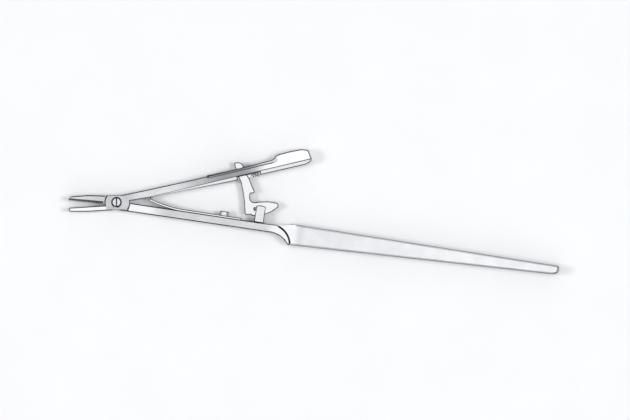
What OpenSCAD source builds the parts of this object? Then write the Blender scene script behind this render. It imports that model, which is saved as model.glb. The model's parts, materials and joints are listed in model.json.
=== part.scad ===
/* [Joint] */
// Thickness of the instrument at the joint, jaws and grip
body_t = 4.6; // [4.4:0.1:5.4]
// Radius of the round shoulders that the two halves lap within
lap_r = 3.8; // [3.7:0.1:4.3]
// Half height of the joint above the screw
lap_top = 1.85; // [1.7:0.05:2.1]
// Half height of the joint below the screw
lap_bottom = 2.05; // [1.9:0.05:2.2]
// Radius of the screw's shank
screw_r = 0.8; // [0.7:0.05:0.9]
// Radius of the screw's head
screw_head_r = 1.15; // [1.05:0.05:1.3]
// Height of the screw's head
screw_head_h = 0.8; // [0.6:0.1:1]

/* [Jaws] */
// Reach of the jaws from the screw
jaw_len = 12.95; // [10:0.5:16]
// Depth of each jaw at its nose
jaw_tip_d = 1.1; // [0.9:0.1:1.4]
// Width of the jaws at the nose
jaw_tip_w = 2.2; // [1.6:0.1:3]
// Drop of the biting faces below the screw
bite_drop = 0.7; // [0.5:0.05:0.9]
// Angle of the upper biting face
upper_bite_a = 5.2; // [4.5:0.1:6]
// Angle of the lower biting face
lower_bite_a = 3.5; // [3:0.1:4.2]
// Pitch of the serrations
tooth_pitch = 0.55; // [0.4:0.05:0.8]
// Depth of the serrations
tooth_d = 0.32; // [0.15:0.01:0.4]
// Width of the serrations of the lower jaw, which stop inside its edges
lower_tooth_w = 1.4; // [1:0.1:1.8]

/* [Handle] */
// Angle of the lower arm below the X axis
arm_a = 8.6; // [8:0.1:10]
// Length of the lower arm from the screw to the grip
arm_len = 46.8; // [45:0.2:50]
// Depth of the lower arm beside the joint
arm_root_w = 2.36; // [2.2:0.02:2.6]
// Depth of the lower arm beside the grip
arm_end_w = 2.2; // [2:0.05:2.6]
// Thickness of the lower arm
arm_t = 3.8; // [3.6:0.1:4.2]
// Length of the grip
grip_len = 74.6; // [60:1:90]
// Depth of the grip at its shoulder
grip_w = 5.7; // [5:0.1:6.5]
// Depth of the grip at its end
grip_end_w = 2.4; // [2:0.1:3.5]
// Angle of the grip below the X axis
grip_a = 7.65; // [7:0.1:9]
// Radius of the scallop under the grip's shoulder
scallop_r = 6.2; // [5.8:0.1:6.6]

/* [Lever] */
// Angle of the lever arm above the X axis
lever_a = 12.7; // [12:0.1:14]
// Length by which the thumb pad starts ahead of the grip
pad_lead_len = 1.2; // [0:0.1:2.4]
// Depth of the lever arm beside the joint
lever_root_w = 1.8; // [1.7:0.02:2]
// Depth of the lever arm beside the thumb pad
lever_end_w = 3.4; // [3:0.1:3.8]
// Length of the thumb pad
pad_len = 8.4; // [7:0.2:12]
// Depth of the thumb pad
pad_w = 4.1; // [3.8:0.1:4.6]

/* [Latch] */
// Length of the lever between the latch's pin and the grip's shoulder
latch_to_grip_len = 12.15; // [11.6:0.05:12.6]
// Thickness of the latch
latch_t = 1.2; // [1:0.1:1.4]
// Radius of the latch's pin
latch_pin_r = 0.5; // [0.4:0.05:0.6]
// Radius of the thumb tab
tab_r = 1.58; // [1.4:0.02:1.8]
// Reach of the hook past the keeper's pin
hook_len = 4.97; // [4.5:0.05:5.4]
// Depth of the hook below the keeper's pin
hook_d = 2.25; // [2.1:0.05:2.5]
// Radius of the throat above the hook
throat_r = 1.22; // [1.1:0.02:1.3]
// Swing of the latch that locks it
latch_swing = 7; // [5:0.5:8]
// Radius of the pin that the latch locks under
keeper_pin_r = 0.35; // [0.3:0.05:0.45]
// Height of the keeper's cheeks above the arm
keeper_h = 4.6; // [3.8:0.1:4.8]
// Width of the keeper's cheeks
keeper_w = 2.6; // [2.2:0.1:3]

/* [Springs] */
// Thickness of the leaf spring
leaf_t = 0.45; // [0.35:0.05:0.55]
// Width of the leaf spring
leaf_w = 3; // [2.4:0.1:3.6]
// Radius that the leaf spring is bent to
leaf_r = 34; // [33:1:40]
// Radius of the leaf spring's screw head
leaf_screw_head_r = 1.2; // [1:0.05:1.4]
// Height of the leaf spring's screw head
leaf_screw_head_h = 1.15; // [0.9:0.05:1.4]
// Wire radius of the latch spring
coil_wire_r = 0.11; // [0.08:0.01:0.13]
// Outer radius of the latch spring
coil_r = 0.6; // [0.5:0.05:0.65]

/* [Hidden] */
$fn = 64;

steel = [0.78, 0.79, 0.81];
bright_steel = [0.86, 0.87, 0.88];
spring_steel = [0.62, 0.63, 0.66];

// Clearances: a running fit, a seat, a lap face and the side play of the latch
run_gap = 0.03;
seat_gap = 0.01;
lap_gap = 0.06;
play = 0.15;
eps = 0.5;
mid_z = body_t / 2;

// The jaws' shoulders lie nearer to the screw than the arms' shoulders
jaw_shoulder_r = lap_r - 0.5;
close_a = upper_bite_a + lower_bite_a - 0.2;

// The arm's frame has its top face at arm_top above the line through the screw
arm_top = 0.34;
arm_bottom_end = arm_top - arm_end_w;
scallop_u = arm_len - scallop_r * 0.73;
scallop_v = arm_bottom_end - scallop_r;
shoulder_u = arm_len + 0.5;
grip_v = -1.6;
step_r = scallop_r * 0.9;

// The lever's frame has its underside falling from the joint to the latch
lever_len = arm_len - pad_lead_len;
lever_under = 0.41;
lever_under_end = 1.4;
lever_mid_u = lever_len * 0.48;
lever_top_root = lever_root_w - lever_under + 0.2;
lever_top_end = lever_end_w - lever_under_end;
pad_top = pad_w - lever_under_end + 0.3;

// The latch hangs from its pin in the slot through the lever
latch_u = arm_len - latch_to_grip_len;
latch_v = 0.4;
latch_slot_w = latch_t + 2 * play;
slot_back = 1.75;
slot_front = 2.3;
notch_front = 4.9;
notch_v = -0.6;
facet_u = latch_u - 9.15;

// The keeper stands on the arm below the latch, and its pin crosses the arm's mortise
keeper_lead = 4.15;
keeper_u = latch_u + keeper_lead;
keeper_pin_v = -1.17;
cheek_t = 1;
heel_r = 0.6;
heel_len = 0.72 * hook_len;
mortise_u0 = keeper_u - heel_len - heel_r - 0.4;
mortise_u1 = keeper_u + hook_len + 1.6;

// Places in the instrument's own frame
latch_at = turned([latch_u, latch_v], lever_a);
keeper_open = turned([keeper_u, keeper_pin_v], -arm_a);
keeper_shut = turned(keeper_open, close_a);
path_r = norm(keeper_open);
to_keeper = keeper_shut - latch_at;

// The leaf spring ends short of the mortise, and its tip bears on the lever's nib
leaf_lift_u = 19;
leaf_end_u = mortise_u0 - 0.2;
leaf_tip_u = 8.7;
leaf_shank_r = 0.6;
leaf_screw_u = leaf_end_u - 4.8;
nib_u = 9.5;
nib_h = 0.5;
nib_w = 0.7;

function turned(p, a) = [p.x * cos(a) - p.y * sin(a), p.x * sin(a) + p.y * cos(a)];
function heading(p) = atan2(p.y, p.x);
function arc(c, r, a0, a1, n = 12) =
    [for (i = [0:n]) let (a = a0 + (a1 - a0) * i / n) [c.x + r * cos(a), c.y + r * sin(a)]];

module on_arm() { rotate([0, 0, -arm_a]) children(); }
module on_lever() { rotate([0, 0, lever_a]) children(); }
module at_latch() { translate([latch_at.x, latch_at.y, 0]) children(); }

// A plate of thickness t that lies centred in the instrument's thickness
module plate(t) { translate([0, 0, mid_z - t / 2]) linear_extrude(t) children(); }

// Band between the joint's upper and lower edges, held inside the shoulders
module lap_outline() {
    intersection() {
        translate([-lap_r, -lap_bottom]) square([2 * lap_r, lap_bottom + lap_top]);
        union() {
            circle(jaw_shoulder_r - 0.1);
            intersection() {
                circle(lap_r - 0.1);
                translate([0, -lap_r]) square([lap_r, 2 * lap_r]);
            }
        }
    }
}

// Room for the other half within the shoulders, over half of the thickness
module lap_room(z0) {
    translate([0, 0, z0]) {
        cylinder(r = jaw_shoulder_r, h = mid_z + lap_gap / 2 + eps);
        intersection() {
            cylinder(r = lap_r, h = mid_z + lap_gap / 2 + eps);
            translate([0, -lap_r, 0]) cube([lap_r, 2 * lap_r, body_t]);
        }
    }
}

// Jaw above a level biting face, nose to the left
module jaw_outline(root_d) {
    nose = 0.45;
    back = -1.2;
    polygon(concat(
        [[back, -bite_drop], [-jaw_len + 0.25, -bite_drop], [-jaw_len, 0.3 - bite_drop]],
        arc([-jaw_len + nose, jaw_tip_d - bite_drop - nose], nose, 180, 95, 6),
        [[-jaw_len * 0.6, (jaw_tip_d * 0.4 + root_d * 0.6) - bite_drop + 0.1], [back, root_d - bite_drop]]));
}

// Row of V cuts across a biting face
module tooth_cuts(width) {
    count = floor((jaw_len - jaw_shoulder_r - 0.8) / tooth_pitch);
    for (i = [0:count - 1])
        plate(width) translate([-jaw_len + 0.45 + i * tooth_pitch, -bite_drop])
            polygon([[0, -0.01], [tooth_pitch * 0.8, -0.01], [tooth_pitch * 0.4, tooth_d]]);
}

// Two wedges that taper the jaws' sides towards the nose
module jaw_taper() {
    side = (body_t - jaw_tip_w) / 2;
    for (m = [0, 1])
        translate([0, 0, mid_z]) mirror([0, 0, m]) translate([0, jaw_len, -mid_z])
            rotate([90, 0, 0]) linear_extrude(2 * jaw_len)
                polygon([[-jaw_len - 1, -1], [-jaw_shoulder_r, -1], [-jaw_shoulder_r, 0], [-jaw_len - 1, side * 1.08]]);
}

// Lower arm with the web that swells into the grip above the scallop
module arm_outline() {
    arm_bottom_root = arm_top - arm_root_w;
    foot_a = 90 - asin((shoulder_u - scallop_u) / scallop_r);
    polygon(concat(
        [[1, arm_bottom_root], [1, arm_top], [scallop_u + 1.5, arm_top], [arm_len - 1.2, arm_top + 0.2],
         [arm_len + 0.4, arm_top + 0.62], [shoulder_u + 1.5, arm_top + 0.85], [shoulder_u + 1.5, grip_v]],
        arc([scallop_u, scallop_v], scallop_r, foot_a, 90, 14)));
}

// Grip as a tapered bar with rounded long edges and a rounded end
module grip() {
    round_in = [[0, 0.5], [0.26, 0.14], [0.82, 0]];
    translate([shoulder_u, grip_v, 0]) rotate([0, 0, arm_a - grip_a]) hull()
        for (level = round_in) {
            z = level[0];
            inset = level[1];
            translate([0, 0, z]) linear_extrude(body_t - 2 * z)
                polygon([[0, -grip_w / 2 + inset], [grip_len - 2.5 - inset, -grip_end_w / 2 + inset * 0.8],
                         [grip_len - 1.3 - inset, -grip_end_w / 2 + 0.5 + inset * 0.3], [grip_len - 1 - inset, 0.3],
                         [grip_len - 1.3 - inset, grip_end_w / 2 - inset * 0.8], [0, grip_w / 2 - inset]]);
        }
}

module handle() color(steel) {
    shank_z0 = -1;
    difference() {
        union() {
            difference() {
                linear_extrude(body_t) {
                    lap_outline();
                    rotate(-upper_bite_a) jaw_outline(2.3);
                }
                rotate([0, 0, -upper_bite_a]) {
                    tooth_cuts(body_t + 1);
                    jaw_taper();
                }
            }
            on_arm() plate(arm_t) arm_outline();
            on_arm() difference() {
                union() {
                    plate(body_t) intersection() {
                        arm_outline();
                        translate([scallop_u + 1.5, -10]) square([20, 20]);
                    }
                    grip();
                }
                translate([scallop_u, scallop_v, -1]) cylinder(r = scallop_r, h = body_t + 2);
                for (z = [-eps, (body_t + arm_t) / 2])
                    translate([scallop_u + 0.2, arm_top - step_r, z]) {
                        cylinder(r = step_r, h = eps + (body_t - arm_t) / 2);
                        translate([-step_r, -2 * step_r, 0])
                            cube([step_r, 3 * step_r + 1, eps + (body_t - arm_t) / 2]);
                    }
            }
        }
        lap_room(mid_z - lap_gap / 2);
        translate([0, 0, shank_z0]) cylinder(r = screw_r + seat_gap, h = body_t);
        on_arm() {
            translate([mortise_u0, -8, mid_z - latch_slot_w / 2])
                cube([mortise_u1 - mortise_u0, 8 + arm_top + 1, latch_slot_w]);
            translate([keeper_u, keeper_pin_v, -1])
                cylinder(r = keeper_pin_r + seat_gap, h = body_t + 2, $fn = 32);
            translate([leaf_screw_u, arm_top + 1, mid_z]) rotate([90, 0, 0])
                cylinder(r = leaf_shank_r + seat_gap, h = 2.6, $fn = 32);
        }
    }
}

// Prism of triangular section that bevels an edge from one point of the lever's face to another
module bevel_cut(p0, p1, side, depth) {
    run = p1 - p0;
    translate([p0.x, p0.y, body_t]) rotate([0, 0, heading(run)])
        rotate([90, 0, 90]) linear_extrude(norm(run))
            polygon([[0, 0], [side * 3, 0.01 - depth * 3], [side * 3, 0.5], [0, 0.5]]);
}

// Arm and thumb pad, with a concave shoulder between them
module lever_outline() {
    back = lever_len + pad_len;
    corner = 0.9;
    polygon(concat(
        [[2, -lever_under], [lever_mid_u + 9, -lever_under_end], [back - 2, 0.1 - lever_under_end],
         [back - 0.6, 0.5 - lever_under_end], [back, 1 - lever_under_end]],
        arc([back - corner - 0.3, pad_top - 0.35 - corner], corner, 8, 80, 6),
        [[back - 2.4, pad_top], [lever_len + 3, pad_top + 0.1], [lever_len, pad_top]],
        arc([lever_len - 2.5, lever_top_end + 1.6], 1.7, -30, -85, 8),
        [[latch_u, 1.65], [lever_mid_u, 1.38], [9, 1.45], [0.8, lever_top_root]]));
}

module lever() color(steel) {
    back = lever_len + pad_len;
    difference() {
        linear_extrude(body_t) {
            lap_outline();
            rotate(lever_a) lever_outline();
            rotate(lower_bite_a) translate([0, -2 * bite_drop]) mirror([0, 1]) jaw_outline(1.4);
        }
        rotate([0, 0, lower_bite_a]) {
            translate([0, -2 * bite_drop, 0]) mirror([0, 1, 0]) tooth_cuts(lower_tooth_w);
            jaw_taper();
        }
        lap_room(-eps);
        translate([0, 0, mid_z - 0.5]) cylinder(r = screw_r + run_gap, h = body_t);
        translate([0, 0, body_t - screw_head_h]) cylinder(r = screw_head_r + run_gap, h = body_t);
        on_lever() {
            for (m = [0, 1]) translate([0, 0, mid_z]) mirror([0, 0, m]) translate([0, 0, -mid_z]) {
                bevel_cut([facet_u, 0.8], [lever_len - 0.6, 1.15], 1, 0.6);
                bevel_cut([nib_u + 0.2, -0.52], [back + 1, -0.1], -1, 0.45);
            }
            translate([latch_u - slot_back, -3, mid_z - latch_slot_w / 2])
                cube([slot_back + slot_front, 8, latch_slot_w]);
            translate([latch_u, -3, mid_z - latch_slot_w / 2])
                cube([notch_front, 3 + notch_v + 0.1, latch_slot_w]);
            translate([latch_u - 1.3, -3, mid_z]) cube([1.3 + notch_front, 3 + notch_v, body_t]);
            translate([latch_u, latch_v, -1]) cylinder(r = latch_pin_r + seat_gap, h = body_t + 2, $fn = 32);
        }
    }
    on_lever() translate([nib_u - nib_w / 2, -lever_under - 0.14 - nib_h, mid_z - leaf_w / 2])
        cube([nib_w, nib_h, leaf_w]);
}

module pivot_screw() color(bright_steel) {
    difference() {
        union() {
            cylinder(r = screw_r, h = body_t - 0.1);
            translate([0, 0, body_t - screw_head_h + run_gap])
                cylinder(r = screw_head_r, h = screw_head_h - run_gap);
        }
        translate([-0.17, -2, body_t - 0.45]) cube([0.34, 4, 1]);
    }
}

// Strip that lies on the arm and bends up in one curve to the lever's nib
module leaf_spring() color(spring_steel) {
    sweep_a = asin((leaf_lift_u - leaf_tip_u) / (leaf_r - leaf_t));
    centre = [leaf_lift_u, arm_top + leaf_r];
    on_arm() difference() {
        plate(leaf_w) polygon(concat(
            [[leaf_end_u, arm_top + leaf_t], [leaf_end_u, arm_top]],
            arc(centre, leaf_r, 270, 270 - sweep_a, 16),
            arc(centre, leaf_r - leaf_t, 270 - sweep_a, 270, 16)));
        translate([leaf_screw_u, arm_top + 1, mid_z]) rotate([90, 0, 0])
            cylinder(r = leaf_shank_r + run_gap, h = 3, $fn = 32);
    }
}

module leaf_screw() color(bright_steel) {
    on_arm() translate([leaf_screw_u, arm_top + leaf_t, mid_z]) rotate([-90, 0, 0]) {
        difference() {
            cylinder(r = leaf_screw_head_r, h = leaf_screw_head_h);
            translate([-0.15, -2, leaf_screw_head_h - 0.4]) cube([0.3, 4, 1]);
        }
        translate([0, 0, -leaf_t - 1.5]) cylinder(r = leaf_shank_r, h = leaf_t + 1.5, $fn = 32);
    }
}

// Two cheeks with domed tops that stand either side of the arm's mortise
module keeper_cheeks() color(steel) {
    on_arm() for (m = [0, 1]) translate([0, 0, mid_z]) mirror([0, 0, m])
        translate([keeper_u - keeper_w / 2, arm_top, latch_slot_w / 2]) linear_extrude(cheek_t)
            polygon(concat([[0, 0], [keeper_w, 0]],
                           arc([keeper_w / 2, keeper_h - 3.4], 3.4, 68, 112, 8)));
}

module keeper_pin() color(bright_steel) {
    on_arm() translate([keeper_u, keeper_pin_v, mid_z - arm_t / 2])
        cylinder(r = keeper_pin_r, h = arm_t, $fn = 32);
}

// Way of the keeper's pin through the latch: up as the lever shuts, then aside as the latch swings
module latch_way() {
    r = keeper_pin_r + 0.1;
    mouth_a = heading(keeper_open) - 4;
    shut_a = heading(keeper_shut);
    lock = latch_at + turned(to_keeper, -latch_swing);
    swing_a = heading(to_keeper);
    polygon(concat(
        arc([0, 0], path_r + r, mouth_a, shut_a),
        arc(keeper_shut, r, shut_a + 15, shut_a + 165, 8),
        arc([0, 0], path_r - r, shut_a, mouth_a)));
    polygon(concat(
        [keeper_shut],
        arc(latch_at, norm(to_keeper) + r, swing_a - 1, swing_a - latch_swing),
        arc(lock, r, swing_a - latch_swing - 15, swing_a - latch_swing - 165, 8),
        arc(latch_at, norm(to_keeper) - r, swing_a - latch_swing, swing_a - 1)));
}

// Points of the latch from its pin: in shares of the tab, of the way to the keeper's pin, and of the hook
function at_tab(x, y) = tab_r * [x, y];
function at_stem(x, y) = [x * to_keeper.x, y * to_keeper.y];
function at_hook(x, y) = to_keeper + [x * hook_len, y * hook_d];

// Thumb tab above the pin, a stem with a beak below it, and a rounded hook
module latch_outline() {
    beak_r = 0.5;
    tip_r = 0.8;
    polygon(concat(
        arc(at_tab(-0.57, 0.76), tab_r, 10, 100, 8),
        arc(at_tab(-0.98, 1.5), 0.22 * tab_r, 110, 185, 5),
        [at_tab(-1.08, 0.92), at_tab(-0.92, 0.5)],
        [at_stem(-0.17, 0.13), at_stem(-0.03, 0.28), at_stem(0.053, 0.51), at_stem(0.134, 0.8),
         at_stem(0.17, 1.08)],
        arc(to_keeper + [-heel_len, heel_r + 0.05 - hook_d], heel_r, 185, 265, 6),
        [at_hook(-0.49, -0.93), at_hook(-0.425, -1.09), at_hook(-0.1, -1.07), at_hook(0.1, -0.94),
         at_hook(0.31, -0.86), at_hook(0.58, -0.67), at_hook(0.83, -0.31)],
        arc(at_hook(1, 0.133) - [tip_r, 0], tip_r, -30, 75, 8),
        [at_hook(0.64, 0.6), at_hook(0.41, 0.65), at_hook(0, 0.61)],
        arc(at_hook(-0.3, 0.61) + [0, 0.985 * throat_r - 0.17], throat_r, 280, 175, 8),
        arc(at_stem(0.54, 0.643), 0.7 * beak_r, 170, 100, 4),
        arc(at_stem(0.61, 0.552), beak_r, -80, 20, 6),
        [at_stem(0.56, 0.37), at_stem(0.425, 0.16), at_tab(0.82, -0.25), at_tab(0.475, 0.38)]));
}

module latch() color(bright_steel) {
    plate(latch_t) difference() {
        translate(latch_at) latch_outline();
        translate(latch_at) circle(latch_pin_r + run_gap, $fn = 32);
        latch_way();
    }
}

module latch_pin() color(bright_steel) {
    at_latch() cylinder(r = latch_pin_r, h = body_t, $fn = 32);
}

// Tube of round wire along a helix, closed at both ends
module latch_spring() color(spring_steel) {
    turns = 4;
    steps = 16;
    sides = 8;
    mean_r = coil_r - coil_wire_r;
    length = notch_front - slot_front - 0.1 - 2 * coil_wire_r;
    rings = [for (i = [0:turns * steps]) let (a = 360 * i / steps, u = length * i / (turns * steps))
        [for (j = [0:sides - 1]) let (b = 360 * j / sides, r = mean_r + coil_wire_r * cos(b))
            [u + coil_wire_r * sin(b), r * cos(a), r * sin(a)]]];
    points = [for (ring = rings) each ring];
    last = turns * steps;
    on_lever() translate([latch_u + slot_front + 0.05 + coil_wire_r, notch_v - 0.5, mid_z])
        polyhedron(points, concat(
            [[for (j = [0:sides - 1]) j]],
            [[for (j = [sides - 1:-1:0]) last * sides + j]],
            [for (i = [0:last - 1]) for (j = [0:sides - 1]) let (k = (j + 1) % sides)
                [i * sides + j, (i + 1) * sides + j, (i + 1) * sides + k, i * sides + k]]));
}

handle();
lever();
pivot_screw();
leaf_spring();
leaf_screw();
keeper_cheeks();
keeper_pin();
latch();
latch_pin();
latch_spring();
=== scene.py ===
"""Looks of a steel needle holder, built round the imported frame.

The lengths are in metres, in the frame of the CAD part: the joint's screw stands at the origin, the grip runs
towards +X, the thumb lever lies on the +Y side, and +Z points at the viewer.
"""

from __future__ import annotations

import json
import logging
import math
from dataclasses import dataclass
from enum import Enum
from typing import Callable, Iterable

import bmesh
import bpy
from mathutils import Matrix, Vector

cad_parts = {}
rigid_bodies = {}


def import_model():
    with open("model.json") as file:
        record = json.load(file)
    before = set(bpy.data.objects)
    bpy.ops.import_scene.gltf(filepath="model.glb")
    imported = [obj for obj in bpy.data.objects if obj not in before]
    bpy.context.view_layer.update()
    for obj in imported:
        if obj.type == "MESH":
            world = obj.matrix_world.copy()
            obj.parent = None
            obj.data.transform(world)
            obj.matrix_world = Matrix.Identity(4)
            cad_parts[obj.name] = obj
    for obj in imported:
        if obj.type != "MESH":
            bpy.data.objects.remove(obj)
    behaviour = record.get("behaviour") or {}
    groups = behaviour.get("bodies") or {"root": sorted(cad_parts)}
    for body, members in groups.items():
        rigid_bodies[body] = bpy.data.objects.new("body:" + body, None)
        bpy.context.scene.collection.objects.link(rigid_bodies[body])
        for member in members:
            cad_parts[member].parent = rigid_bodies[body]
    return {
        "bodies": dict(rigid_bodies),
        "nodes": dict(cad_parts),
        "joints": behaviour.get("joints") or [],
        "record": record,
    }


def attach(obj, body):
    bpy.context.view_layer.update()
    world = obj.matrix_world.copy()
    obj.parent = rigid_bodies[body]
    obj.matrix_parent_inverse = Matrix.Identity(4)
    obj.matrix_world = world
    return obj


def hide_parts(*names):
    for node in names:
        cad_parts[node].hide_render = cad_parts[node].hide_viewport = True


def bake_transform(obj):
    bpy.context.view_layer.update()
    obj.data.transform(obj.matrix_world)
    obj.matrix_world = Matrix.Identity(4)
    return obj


log = logging.getLogger("needle_holder")

MM = 0.001
FACING = 0.9  # A direction counts as along an axis when its part along it is over this.
LEVEL = 0.5  # An edge runs level when the Z part of its direction is under this.
BROAD = 0.998  # A face belongs to a broad side when the Z part of its normal is over this.
NOISE_MEAN = 0.5


class Body(Enum):
    """The moving bodies of the instrument."""

    HANDLE = "handle"
    LEVER = "lever"
    LATCH = "latch"


class Stock(Enum):
    """The steels that the instrument is made of, by the record's names."""

    SATIN = "satin_steel"
    BRIGHT = "bright_steel"
    SPRING = "spring_steel"


class Signal:
    """A value in a material's node tree, with the arithmetic that the finishes use."""

    def __init__(self, tree: bpy.types.NodeTree, socket: bpy.types.NodeSocket) -> None:
        """Keeps the tree and the output socket that carries the value."""
        self.tree = tree
        self.socket = socket

    def _maths(self, operation: str, first: Signal | float, second: Signal | float) -> Signal:
        """Adds one Math node.

        Args:
            operation: The node's operation.
            first: Its first value.
            second: Its second value.

        Returns:
            The node's result.
        """
        node = self.tree.nodes.new("ShaderNodeMath")
        node.operation = operation
        for slot, value in enumerate((first, second)):
            if isinstance(value, Signal):
                self.tree.links.new(value.socket, node.inputs[slot])
            else:
                node.inputs[slot].default_value = float(value)
        return Signal(self.tree, node.outputs[0])

    def __add__(self, other: Signal | float) -> Signal:
        """Sum."""
        return self._maths("ADD", self, other)

    __radd__ = __add__

    def __sub__(self, other: Signal | float) -> Signal:
        """Difference."""
        return self._maths("SUBTRACT", self, other)

    def __rsub__(self, other: Signal | float) -> Signal:
        """Difference, the other way round."""
        return self._maths("SUBTRACT", other, self)

    def __mul__(self, other: Signal | float) -> Signal:
        """Product."""
        return self._maths("MULTIPLY", self, other)

    __rmul__ = __mul__

    def higher(self, other: Signal | float) -> Signal:
        """The larger of two values."""
        return self._maths("MAXIMUM", self, other)


class Bench:
    """A new material and the one way in which its nodes are made."""

    def __init__(self, name: str) -> None:
        """Makes an empty node material.

        Args:
            name: Its name.
        """
        self.material = bpy.data.materials.new(name)
        self.material.use_nodes = True
        self.tree = self.material.node_tree
        self.tree.nodes.clear()

    def node(self, kind: str, settings: dict | None = None, inputs: dict | None = None) -> bpy.types.Node:
        """Makes a node.

        Args:
            kind: The node's type.
            settings: Its own settings, which are set first.
            inputs: Values or signals for its sockets, by name or number.

        Returns:
            The node.
        """
        made = self.tree.nodes.new(kind)
        for key, value in (settings or {}).items():
            setattr(made, key, value)
        for key, value in (inputs or {}).items():
            socket = made.inputs[key]
            if isinstance(value, Signal):
                self.tree.links.new(value.socket, socket)
            else:
                socket.default_value = value
        return made

    def out(self, made: bpy.types.Node, name: str | int = 0) -> Signal:
        """A node's output as a signal."""
        return Signal(self.tree, made.outputs[name])

    def place(self) -> tuple[Signal, Signal, Signal]:
        """Reads the point that is shaded.

        Returns:
            Its X, Y and Z in metres.
        """
        coordinate = self.node("ShaderNodeTexCoord")
        parts = self.node("ShaderNodeSeparateXYZ", inputs={0: self.out(coordinate, "Object")})
        return self.out(parts, 0), self.out(parts, 1), self.out(parts, 2)

    def vector(self, x: Signal, y: Signal, z: Signal) -> Signal:
        """Three values as one vector."""
        return self.out(self.node("ShaderNodeCombineXYZ", inputs={0: x, 1: y, 2: z}))

    def noise(self, at: Signal, scale: float, detail: float, rough: float) -> Signal:
        """A noise value from 0 to 1.

        Args:
            at: The place that it is read at.
            scale: Its cells per unit.
            detail: Its number of octaves.
            rough: The strength of the finer octaves.

        Returns:
            The noise.
        """
        inputs = {"Vector": at, "Scale": scale, "Detail": detail, "Roughness": rough}
        return self.out(self.node("ShaderNodeTexNoise", inputs=inputs))

    def between(self, value: Signal, low: float, high: float) -> Signal:
        """Rises smoothly from 0 at low to 1 at high.

        Args:
            value: The value that is read.
            low: Where the result is 0.
            high: Where the result is 1.

        Returns:
            The result, held to 0 and 1.
        """
        settings = {"interpolation_type": "SMOOTHSTEP", "clamp": True}
        inputs = {"Value": value, "From Min": low, "From Max": high, "To Min": 0.0, "To Max": 1.0}
        return self.out(self.node("ShaderNodeMapRange", settings, inputs))

    def stretch(self, value: Signal, start: float, end: float, fade_in: float, fade_out: float) -> Signal:
        """Is 1 along a stretch and 0 beyond it, with a fade inside each end. All four numbers are millimetres.

        Args:
            value: The distance that is read, in metres.
            start: Where the stretch starts.
            end: Where it ends.
            fade_in: Length of the rise from its start.
            fade_out: Length of the fall to its end.

        Returns:
            The mask.
        """
        rise = self.between(value, start * MM, (start + fade_in) * MM)
        fall = self.between(value, (end - fade_out) * MM, end * MM)
        return rise * (1.0 - fall)

    def tint(self, amount: Signal | float, first: Signal | tuple, second: Signal | tuple) -> Signal:
        """Mixes two colours.

        Args:
            amount: 0 for the first colour, 1 for the second.
            first: A colour or a signal.
            second: A colour or a signal.

        Returns:
            The mixed colour.
        """
        made = self.node("ShaderNodeMix", {"data_type": "RGBA"}, {0: amount})
        for socket, value in ((made.inputs[6], first), (made.inputs[7], second)):
            if isinstance(value, Signal):
                self.tree.links.new(value.socket, socket)
            else:
                socket.default_value = (*value, 1.0)
        return self.out(made, 2)

    def bump(self, height: Signal, strength: float, distance: float) -> Signal:
        """A normal from a height in metres times distance."""
        inputs = {"Height": height, "Strength": strength, "Distance": distance}
        return self.out(self.node("ShaderNodeBump", inputs=inputs))

    def finish(self, inputs: dict) -> bpy.types.Material:
        """Joins the inputs to the surface shader.

        Args:
            inputs: Values or signals for the shader's sockets.

        Returns:
            The finished material.
        """
        shader = self.node("ShaderNodeBsdfPrincipled", inputs=inputs)
        output = self.node("ShaderNodeOutputMaterial")
        self.tree.links.new(shader.outputs[0], output.inputs[0])
        return self.material


@dataclass(frozen=True)
class Shade:
    """A stretch of the steel with painted shade or a painted highlight, darker or paler than the rest, in
    millimetres along the piece's heading.
    """

    start: float
    end: float
    fade_in: float
    fade_out: float
    amount: float
    pale: bool = False


@dataclass(frozen=True)
class PaintedLitSide:
    """The side of a line that takes a painted highlight, in millimetres along and across the piece's heading.

    Attributes:
        start: A point of the line.
        end: Another point of it.
        fade: Distances under the line between which the pale side begins.
        rise: Distances along the heading between which it comes in.
        amount: How much of the pale tone shows.
    """

    start: tuple[float, float]
    end: tuple[float, float]
    fade: tuple[float, float] = (-0.02, 0.03)
    rise: tuple[float, float] = (3.0, 5.0)
    amount: float = 0.95


@dataclass(frozen=True)
class BiteStrip:
    """A strip of painted shade along a biting face, where the V cuts stand, with a darker tick at each tooth, in
    millimetres of the jaw's heading.

    Attributes:
        heading: The jaw's heading in degrees.
        low: Lower side of the strip, across the heading.
        high: Upper side of the strip.
        start: Its end at the nose, along the heading.
        end: Its end at the joint.
        end_fade: Fade at both its ends.
        low_fade: Fade at its lower side.
        high_fade: Fade at its upper side.
        body_low: How far the paler body between the ticks stays above the lower side.
        body_high: How far it stays below the upper side.
        body_fade: Fade at both its sides.
        paleness: Half of how much paler the body is at the middle of a cut than at a tick.
        pitch: Distance from cut to cut.
        first_cut: Middle of the cut next to the nose, along the heading. The ticks stand half a pitch from it.
        tone: The strip's dark tone.
    """

    heading: float = -5.2
    low: float = -0.75
    high: float = -0.02
    start: float = -13.3
    end: float = -3.45
    end_fade: float = 0.15
    low_fade: float = 0.02
    high_fade: float = 0.08
    body_low: float = 0.22
    body_high: float = 0.18
    body_fade: float = 0.12
    paleness: float = 0.14
    pitch: float = 0.55
    first_cut: float = -12.28
    tone: tuple[float, float, float] = (0.05, 0.05, 0.055)


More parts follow.
